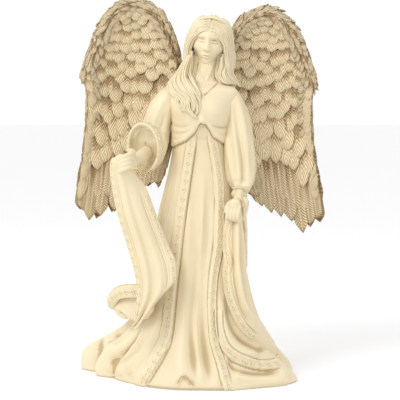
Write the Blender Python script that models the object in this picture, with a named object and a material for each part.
"""Resin angel figurine: a hollow cast robed figure, with its head, sleeves, hands, drapes and
wings as separate castings pinned and glued to it, and a felted plate that closes the underside.

The figure looks along -Y and stands on Z = 0. Its right-hand side is at -X.
Points in this file are in millimetres and are scaled to metres as each mesh is made.
"""

import math

import bmesh
import bpy
from mathutils import Vector

# Driving dimensions, in millimetres.
MM = 0.001
GLUE_GAP = 0.3  # between two castings that are glued together
FELT_THICKNESS = 1.2
FELT_INSET = 2.5  # from the hem to the edge of the felt
PLATE_THICKNESS = 4.0
WALL = 6.0  # of the hollow gown
HEM_Z = FELT_THICKNESS + GLUE_GAP
NECK_Z = 199.0  # where the head casting is set on the shoulders
DOWEL_RADIUS = 1.5
WIRE_RADIUS = 0.8
DOWEL_CLEARANCE = 0.3

# The column of the torso and gown: height, centre x, half width, half depth in front and behind.
COLUMN = [
    (HEM_Z, 0, 36, 33, 34),
    (30, 0, 33, 28, 30),
    (60, 0, 29, 24, 27),
    (85, 0, 27, 21, 23),
    (108, -1, 26, 18.5, 19),
    (130, -1, 22, 15, 15),
    (150, -1, 18, 12.5, 12),
    (168, 0, 17.5, 13, 11),
    (176, 1, 19, 15, 11),
    (184, 1, 21, 14.5, 11.5),
    (191, 1.5, 22.5, 11.5, 11.5),
    (195.5, 2, 19, 9, 10),
    (NECK_Z, 3, 11, 7, 8),
]
# The hem, spread on the ground: angle from +X in degrees, radius, and height of its rolled edge.
HEM = [
    (-90, 46, 4),
    (-65, 50, 4),
    (-42, 54, 4),
    (-14, 68, 6),
    (0, 59, 10),
    (17, 56, 15),
    (38, 47, 9),
    (62, 45, 6),
    (90, 48, 6),
    (116, 52, 7),
    (140, 64, 12),
    (158, 82, 17),
    (174, 66, 15),
    (200, 53, 8),
    (222, 50, 5),
    (244, 48, 4),
]
HEM_FALL = 15.0  # height over which the spread hem dies away up the gown

GOWN_SIDES = 40
GOWN_RINGS = 19

IVORY = ("ivory_resin", (0.83, 0.73, 0.53, 1.0), 0.45, 0.0)
TAN = ("tan_resin", (0.62, 0.46, 0.28, 1.0), 0.6, 0.0)
STEEL = ("dowel_steel", (0.6, 0.6, 0.6, 1.0), 0.3, 1.0)
BARE = ("bare_resin", (0.8, 0.77, 0.7, 1.0), 0.7, 0.0)
FELT = ("felt", (0.55, 0.48, 0.36, 1.0), 0.95, 0.0)


# ---------------------------------------------------------------- scene and small helpers


def clear_scene():
    for obj in list(bpy.data.objects):
        bpy.data.objects.remove(obj)
    for name in ("resin_angel_figurine", "cutters"):
        group = bpy.data.collections.new(name)
        bpy.context.scene.collection.children.link(group)


def material(spec):
    name, colour, roughness, metallic = spec
    made = bpy.data.materials.get(name)
    if made is None:
        made = bpy.data.materials.new(name)
        made.use_nodes = True
        made.diffuse_color = colour
        shader = made.node_tree.nodes["Principled BSDF"]
        shader.inputs["Base Color"].default_value = colour
        shader.inputs["Roughness"].default_value = roughness
        shader.inputs["Metallic"].default_value = metallic
    return made


def add_object(name, mesh, spec, group="resin_angel_figurine"):
    obj = bpy.data.objects.new(name, mesh)
    bpy.data.collections[group].objects.link(obj)
    if spec:
        mesh.materials.append(material(spec))
    if group == "cutters":
        obj.hide_render = True
        obj.display_type = "WIRE"
    return obj


def object_from(name, bm, spec, group="resin_angel_figurine"):
    """An object from a bmesh in millimetres, in flat triangles with their normals outwards."""
    bmesh.ops.scale(bm, vec=(MM, MM, MM), verts=bm.verts)
    bmesh.ops.triangulate(bm, faces=bm.faces)
    bmesh.ops.recalc_face_normals(bm, faces=bm.faces)
    mesh = bpy.data.meshes.new(name)
    bm.to_mesh(mesh)
    bm.free()
    mesh.shade_smooth()
    mesh.set_sharp_from_angle(angle=math.radians(40))
    return add_object(name, mesh, spec, group)


def boolean(obj, other, operation):
    modifier = obj.modifiers.new(f"{operation.lower()}_{other.name}", "BOOLEAN")
    modifier.operation = operation
    modifier.object = other


def cut(obj, cutter):
    boolean(obj, cutter, "DIFFERENCE")


def join(obj, other):
    boolean(obj, other, "UNION")


def fit_to(obj, *neighbours):
    """Cuts a piece away where its neighbours' outer shapes, grown by the glue gap, pass into it."""
    for neighbour in neighbours:
        cutter = bpy.data.objects.get(f"{neighbour.name}_grown")
        if cutter is None:
            cutter = add_object(f"{neighbour.name}_grown", neighbour.data.copy(), None, "cutters")
            grow = cutter.modifiers.new("grow", "DISPLACE")
            grow.strength = GLUE_GAP * 1.3 * MM
            grow.mid_level = 0.0
        cut(obj, cutter)


def blend_keys(keys, at):
    """Rows of numbers interpolated by a Catmull-Rom curve, at a place counted in keys."""
    last = len(keys) - 1
    i = min(int(at), last - 1)
    t = at - i
    before = keys[max(i - 1, 0)]
    after = keys[min(i + 2, last)]
    return [
        0.5 * (2 * b + (c - a) * t + (2 * a - 5 * b + 4 * c - d) * t**2 + (3 * b - a - 3 * c + d) * t**3)
        for a, b, c, d in zip(before, keys[i], keys[i + 1], after)
    ]


def skin(bm, rings):
    """Joins rings of points, each as long as the last, into one closed body with flat ends."""
    rows = [[bm.verts.new(point) for point in ring] for ring in rings]
    sides = len(rows[0])
    for lower, upper in zip(rows, rows[1:]):
        for i in range(sides):
            j = (i + 1) % sides
            bm.faces.new((lower[i], lower[j], upper[j], upper[i]))
    bm.faces.new(rows[0][::-1])
    bm.faces.new(rows[-1])


def tube_rings(stations, sides=16, between=2):
    """Oval rings square to a path. A station is x, y, z, half width and half depth."""
    steps = (len(stations) - 1) * between
    keys = [blend_keys(stations, i / between) for i in range(steps + 1)]
    rings = []
    for i, key in enumerate(keys):
        centre = Vector(key[:3])
        ahead = Vector(keys[min(i + 1, steps)][:3])
        behind = Vector(keys[max(i - 1, 0)][:3])
        along = (ahead - behind).normalized()
        across = Vector((1, 0, 0)) - along * along.x
        across.normalize()
        through = along.cross(across)
        turns = [2 * math.pi * k / sides for k in range(sides)]
        rings.append([
            centre + across * key[3] * math.cos(a) + through * key[4] * math.sin(a)
            for a in turns
        ])
    return rings


def tube(name, stations, spec, sides=16, between=2, group="resin_angel_figurine"):
    bm = bmesh.new()
    skin(bm, tube_rings(stations, sides, between))
    return object_from(name, bm, spec, group)


def rod(name, start, end, radius, spec, sides=12, group="resin_angel_figurine"):
    """A round bar between two points."""
    start = Vector(start)
    along = Vector(end) - start
    bm = bmesh.new()
    bmesh.ops.create_cone(
        bm, cap_ends=True, segments=sides, radius1=radius, radius2=radius, depth=along.length
    )
    turn = along.to_track_quat("Z", "Y").to_matrix().to_4x4()
    turn.translation = start + along / 2
    bmesh.ops.transform(bm, matrix=turn, verts=bm.verts)
    return object_from(name, bm, spec, group)


def dowel(name, start, end, hosts, radius=DOWEL_RADIUS):
    """A steel dowel, and its socket with clearance in each casting that it holds."""
    along = (Vector(end) - Vector(start)).normalized() * DOWEL_CLEARANCE
    rod(name, start, end, radius, STEEL)
    socket = rod(
        f"{name}_socket",
        Vector(start) - along,
        Vector(end) + along,
        radius + DOWEL_CLEARANCE,
        None,
        group="cutters",
    )
    for host in hosts:
        cut(host, socket)


# ---------------------------------------------------------------- figure body


def hem_at(angle):
    """Radius and edge height of the hem at an angle in degrees."""
    turn = 360
    angle = (angle - HEM[0][0]) % turn + HEM[0][0]
    keys = [*HEM, (HEM[0][0] + turn, *HEM[0][1:])]
    for first, second in zip(keys, keys[1:]):
        if first[0] <= angle <= second[0]:
            t = (angle - first[0]) / (second[0] - first[0])
            t = t * t * (3 - 2 * t)
            return [a + (b - a) * t for a, b in zip(first[1:], second[1:])]


def column_at(z):
    heights = [row[0] for row in COLUMN]
    i = max(k for k in range(len(COLUMN) - 1) if heights[k] <= z)
    at = i + (z - heights[i]) / (heights[i + 1] - heights[i])
    return blend_keys(COLUMN, at)[1:]


def gown_ring(z, inset=0.0, sides=GOWN_SIDES):
    """The outline of the figure at one height, pulled in by a wall's thickness."""
    centre, wide, front, back = column_at(z)
    ring = []
    for k in range(sides):
        a = 2 * math.pi * k / sides
        deep = front if math.sin(a) < 0 else back
        core = wide * deep / math.hypot(deep * math.cos(a), wide * math.sin(a))
        radius, edge = hem_at(math.degrees(a))
        rise = max(0.0, z - edge) / HEM_FALL
        radius = core + max(0.0, radius - core) * math.exp(-rise) - inset
        ring.append((centre + radius * math.cos(a), radius * math.sin(a), z))
    return ring


def figure_body():
    bm = bmesh.new()
    heights = [HEM_Z + (NECK_Z - HEM_Z) * (k / (GOWN_RINGS - 1)) ** 1.15 for k in range(GOWN_RINGS)]
    skin(bm, [gown_ring(z) for z in heights])
    body = object_from("figure_body", bm, IVORY)
    hollow = bmesh.new()
    floor = HEM_Z - 1
    levels = [(floor, HEM_Z), (8, 8), (16, 18), (30, 30), (60, 60), (95, 100), (125, 130)]
    skin(hollow, [[(x, y, z) for x, y, _ in gown_ring(at, WALL, 20)] for z, at in levels])
    cut(body, object_from("gown_hollow", hollow, None, "cutters"))
    return body


def closing_plate():
    """The plate that fills the mouth of the hollow, held by glue round its edge."""
    bm = bmesh.new()
    outline = gown_ring(8, WALL + GLUE_GAP + 1, 20)
    heights = (HEM_Z, HEM_Z + PLATE_THICKNESS)
    skin(bm, [[(x, y, z) for x, y, _ in outline] for z in heights])
    return object_from("base_plate", bm, BARE)


def felt_pad():
    """A die-cut felt pad that follows the hem: a filled outline, extruded both ways."""
    curve = bpy.data.curves.new("felt_pad", "CURVE")
    curve.dimensions = "2D"
    curve.fill_mode = "BOTH"
    curve.extrude = FELT_THICKNESS / 2 * MM
    outline = gown_ring(HEM_Z, FELT_INSET)
    spline = curve.splines.new("POLY")
    spline.points.add(len(outline) - 1)
    for point, (x, y, _) in zip(spline.points, outline):
        point.co = (x * MM, y * MM, 0, 1)
    spline.use_cyclic_u = True
    pad = add_object("felt_pad", curve, FELT)
    pad.location.z = FELT_THICKNESS / 2 * MM
    return pad


# ---------------------------------------------------------------- head


def head_casting(body):
    """Head, neck and hair. The hair falls down the back and over the right shoulder."""
    head = tube(
        "head",
        [
            (4, 3, 196, 10, 9),
            (4.5, 2, 207, 15, 12),
            (6, 1, 217, 15, 13.5),
            (8, 1, 227, 13.5, 14),
            (7.5, 1, 236, 11, 12),
            (7, 1.5, 242.5, 5, 6),
        ],
        IVORY,
        sides=20,
    )
    fall = tube(
        "hair_fall",
        [(5, 9, 214, 13, 7), (4, 12, 204, 15, 6), (3, 14, 196, 12, 4), (3, 15, 190, 5, 2.5)],
        None,
        group="cutters",
    )
    lock = tube(
        "hair_lock",
        [
            (-7, -3, 212, 6, 6),
            (-12, -7, 201, 8, 5),
            (-11, -13, 192, 8, 4),
            (-7, -17, 184, 6, 3.5),
            (-4, -17, 177, 3, 2.5),
        ],
        None,
        group="cutters",
    )
    side = tube(
        "hair_side",
        [(16, 0, 214, 5, 7), (20, 2, 204, 6, 7), (24, 5, 197, 4, 5)],
        None,
        group="cutters",
    )
    for extra in (fall, lock, side):
        join(head, extra)
    fit_to(head, body)
    return head, fall, lock, side


# ---------------------------------------------------------------- arms


def right_sleeve_casting(body, hair):
    """The raised bell sleeve, with its wide mouth turned to the front."""
    sleeve = tube(
        "right_sleeve",
        [
            (-17, 0, 190, 6, 7),
            (-24, 0, 183, 8, 8),
            (-29, 0, 171, 10, 10),
            (-31, -1, 160, 12, 12),
            (-33, -7, 156, 13, 14),
            (-37, -15, 155, 12, 15),
        ],
        IVORY,
        sides=20,
    )
    mouth = tube(
        "right_sleeve_mouth",
        [(-33, -7, 156, 8, 9), (-37, -15, 155, 10.5, 13.5), (-39, -19, 154.5, 11, 14)],
        None,
        group="cutters",
    )
    fit_to(sleeve, body, hair)
    cut(sleeve, mouth)
    return sleeve


def right_hand_casting():
    """Forearm and closed fist, reaching out of the sleeve's mouth."""
    hand = tube(
        "right_hand",
        [(-35.5, -13, 151, 5, 4.5), (-41, -21, 147, 4, 3.5), (-47, -29, 146, 5, 4.5), (-50, -33, 145, 3.5, 3.5)],
        IVORY,
        sides=12,
    )
    return hand


def left_sleeve_casting(body, hair):
    """The hanging sleeve, gathered round a lowered forearm."""
    sleeve = tube(
        "left_sleeve",
        [
            (19, 1, 192, 6, 7),
            (25, 1, 185, 8.5, 9),
            (28, 0, 172, 10, 10),
            (28, -1, 154, 11, 11),
            (27.5, -3, 140, 10.5, 11),
            (27.5, -6, 131, 7.5, 9),
            (27.5, -7, 127, 4, 6),
        ],
        IVORY,
        sides=20,
    )
    fit_to(sleeve, body, hair)
    return sleeve


def left_hand_casting(sleeve):
    """Wrist and lowered hand, gathering up the robe's edge."""
    hand = tube(
        "left_hand",
        [(26, -9, 131, 3.5, 3.5), (24.5, -13, 123, 3.5, 3.2), (21.5, -17, 116, 5, 4), (20, -18, 109, 3.5, 3)],
        IVORY,
        sides=12,
    )
    fit_to(hand, sleeve)
    return hand


# ---------------------------------------------------------------- drapes


def right_drape_casting(body, hand):
    """The swath of robe held out by the right hand, hanging to the front of the gown."""
    drape = tube(
        "right_drape",
        [
            (-50, -32, 148, 7, 5),
            (-47, -30, 137, 10, 6),
            (-41, -27, 113, 11.5, 5.5),
            (-32, -27, 91, 13, 6),
            (-28, -28, 76, 13, 7),
            (-31, -30, 62, 11, 8),
            (-38, -29, 48, 6, 7),
        ],
        IVORY,
        sides=16,
    )
    fit_to(drape, body, hand)
    return drape


def train_curl_casting(body, drape):
    """The corner of the swath that is blown back and curls up beside the gown."""
    curl = tube(
        "train_curl",
        [
            (-36, -22, 50, 4, 9),
            (-41, -12, 50, 4, 12),
            (-45, -2, 50, 5, 14),
            (-52, 6, 51, 5, 12),
            (-60, 9, 51, 3, 6),
        ],
        IVORY,
        sides=14,
    )
    fit_to(curl, body, drape)
    return curl


def left_drape_casting(body, hand, sleeve):
    """The robe's left front, gathered at the hand and falling to the side of the hem."""
    drape = tube(
        "left_drape",
        [
            (23, -13, 118, 5, 5),
            (23, -12, 106, 7.5, 10),
            (22.5, -12, 92, 8.5, 14),
            (25, -11, 64, 9.5, 17),
            (34, -7, 42, 9, 17),
            (45, -1, 27, 9, 14),
            (52, 2, 17, 6, 8),
        ],
        IVORY,
        sides=16,
    )
    fit_to(drape, body, hand, sleeve)
    return drape


# ---------------------------------------------------------------- wings

# Five columns of the left wing from its root to its outer edge, each from the leading edge down
# to the feather tips: x, y, z.
WING_COLUMNS = [
    [(14, 10, 206), (15, 19, 196), (20, 21, 172), (27, 21, 150), (33, 20, 133), (38, 19, 121)],
    [(26, 9, 236), (27, 22, 224), (32, 26, 190), (39, 25, 158), (43, 24, 134), (48, 22, 113)],
    [(46, 8, 246), (45, 24, 232), (46, 28, 196), (50, 27, 158), (55, 26, 130), (60, 25, 104)],
    [(64, 9, 231), (61, 21, 217), (60, 25, 186), (63, 25, 152), (68, 26, 124), (73, 26, 96)],
    [(75, 11, 200), (73, 16, 190), (74, 18, 166), (76, 21, 142), (79, 23, 122), (82, 25, 103)],
]
WING_ACROSS = 12
WING_DOWN = 12
WING_THICK_TOP = 6.0
WING_THICK_TIP = 3.0
# The right wing is carried higher, and its tips are drawn in and up.
RIGHT_WING_LIFT = 6.0
RIGHT_TIP_LIFT = 5.0
RIGHT_TIP_DRAW = 10.0
BACK_OF_TORSO = 9.0


def wing_point(across, down):
    """A point of the left wing's front surface. Both places run from 0 to 1."""
    row = [blend_keys(column, down * (len(column) - 1)) for column in WING_COLUMNS]
    return Vector(blend_keys(row, across * (len(row) - 1)))


def right_wing_point(across, down):
    point = wing_point(across, down)
    inner = 1 - across
    return Vector((
        -point.x - 1 + RIGHT_TIP_DRAW * down * inner,
        point.y,
        point.z + RIGHT_WING_LIFT + RIGHT_TIP_LIFT * down * inner,
    ))


def wing_casting(name, point_at, side, neighbours):
    """A wing: its front surface, thickened to the back by less and less down to the tips, with
    a root block that lies against the back of the torso."""
    bm = bmesh.new()
    bmesh.ops.create_grid(bm, x_segments=WING_ACROSS, y_segments=WING_DOWN, size=0.5)
    depth = {}
    for vert in bm.verts:
        across = vert.co.x + 0.5
        down = 0.5 - vert.co.y
        depth[vert] = WING_THICK_TOP + (WING_THICK_TIP - WING_THICK_TOP) * down
        vert.co = point_at(across, down)
    made = bmesh.ops.extrude_face_region(bm, geom=bm.faces[:])
    for vert in made["geom"]:
        if isinstance(vert, bmesh.types.BMVert):
            bottom = min(depth, key=lambda old: (old.co - vert.co).length_squared)
            vert.co.y += depth[bottom]
    wing = object_from(name, bm, TAN)
    root = tube(
        f"{name}_root",
        [
            (side * 9, BACK_OF_TORSO, 177, 7, 9),
            (side * 14, 16, 178, 8, 10),
            (side * 22, 25, 180, 7, 9),
        ],
        None,
        sides=12,
        group="cutters",
    )
    join(wing, root)
    fit_to(wing, *neighbours)
    return wing


# ---------------------------------------------------------------- assembly


def build():
    clear_scene()
    body = figure_body()
    closing_plate()
    felt_pad()
    head, fall, lock, side_hair = head_casting(body)
    right_sleeve = right_sleeve_casting(body, lock)
    left_sleeve = left_sleeve_casting(body, side_hair)
    right_hand = right_hand_casting()
    left_hand = left_hand_casting(left_sleeve)
    right_drape = right_drape_casting(body, right_hand)
    left_drape_casting(body, left_hand, left_sleeve)
    train_curl_casting(body, right_drape)
    neighbours = (body, head, fall, side_hair, right_sleeve, left_sleeve)
    left_wing = wing_casting("left_wing", wing_point, 1, neighbours)
    right_wing = wing_casting("right_wing", right_wing_point, -1, neighbours)

    dowel("neck_dowel", (4, 2, 190), (4.5, 1, 208), (body, head))
    dowel("right_shoulder_dowel", (-12, 0, 187), (-25, 0, 182), (body, right_sleeve))
    dowel("left_shoulder_dowel", (13, 0, 188), (26, 0, 183), (body, left_sleeve))
    for side, wing in ((1, left_wing), (-1, right_wing)):
        for level, z in (("upper", 182), ("lower", 173)):
            name = f"{wing.name}_dowel_{level}"
            dowel(name, (side * 9, 3, z), (side * 12, 18, z), (body, wing))
    dowel("right_wrist_wire", (-33, -9, 152), (-39, -18, 149), (right_sleeve, right_hand), WIRE_RADIUS)
    dowel("left_wrist_wire", (26.5, -7, 137), (25, -12, 125), (left_sleeve, left_hand), WIRE_RADIUS)


build()
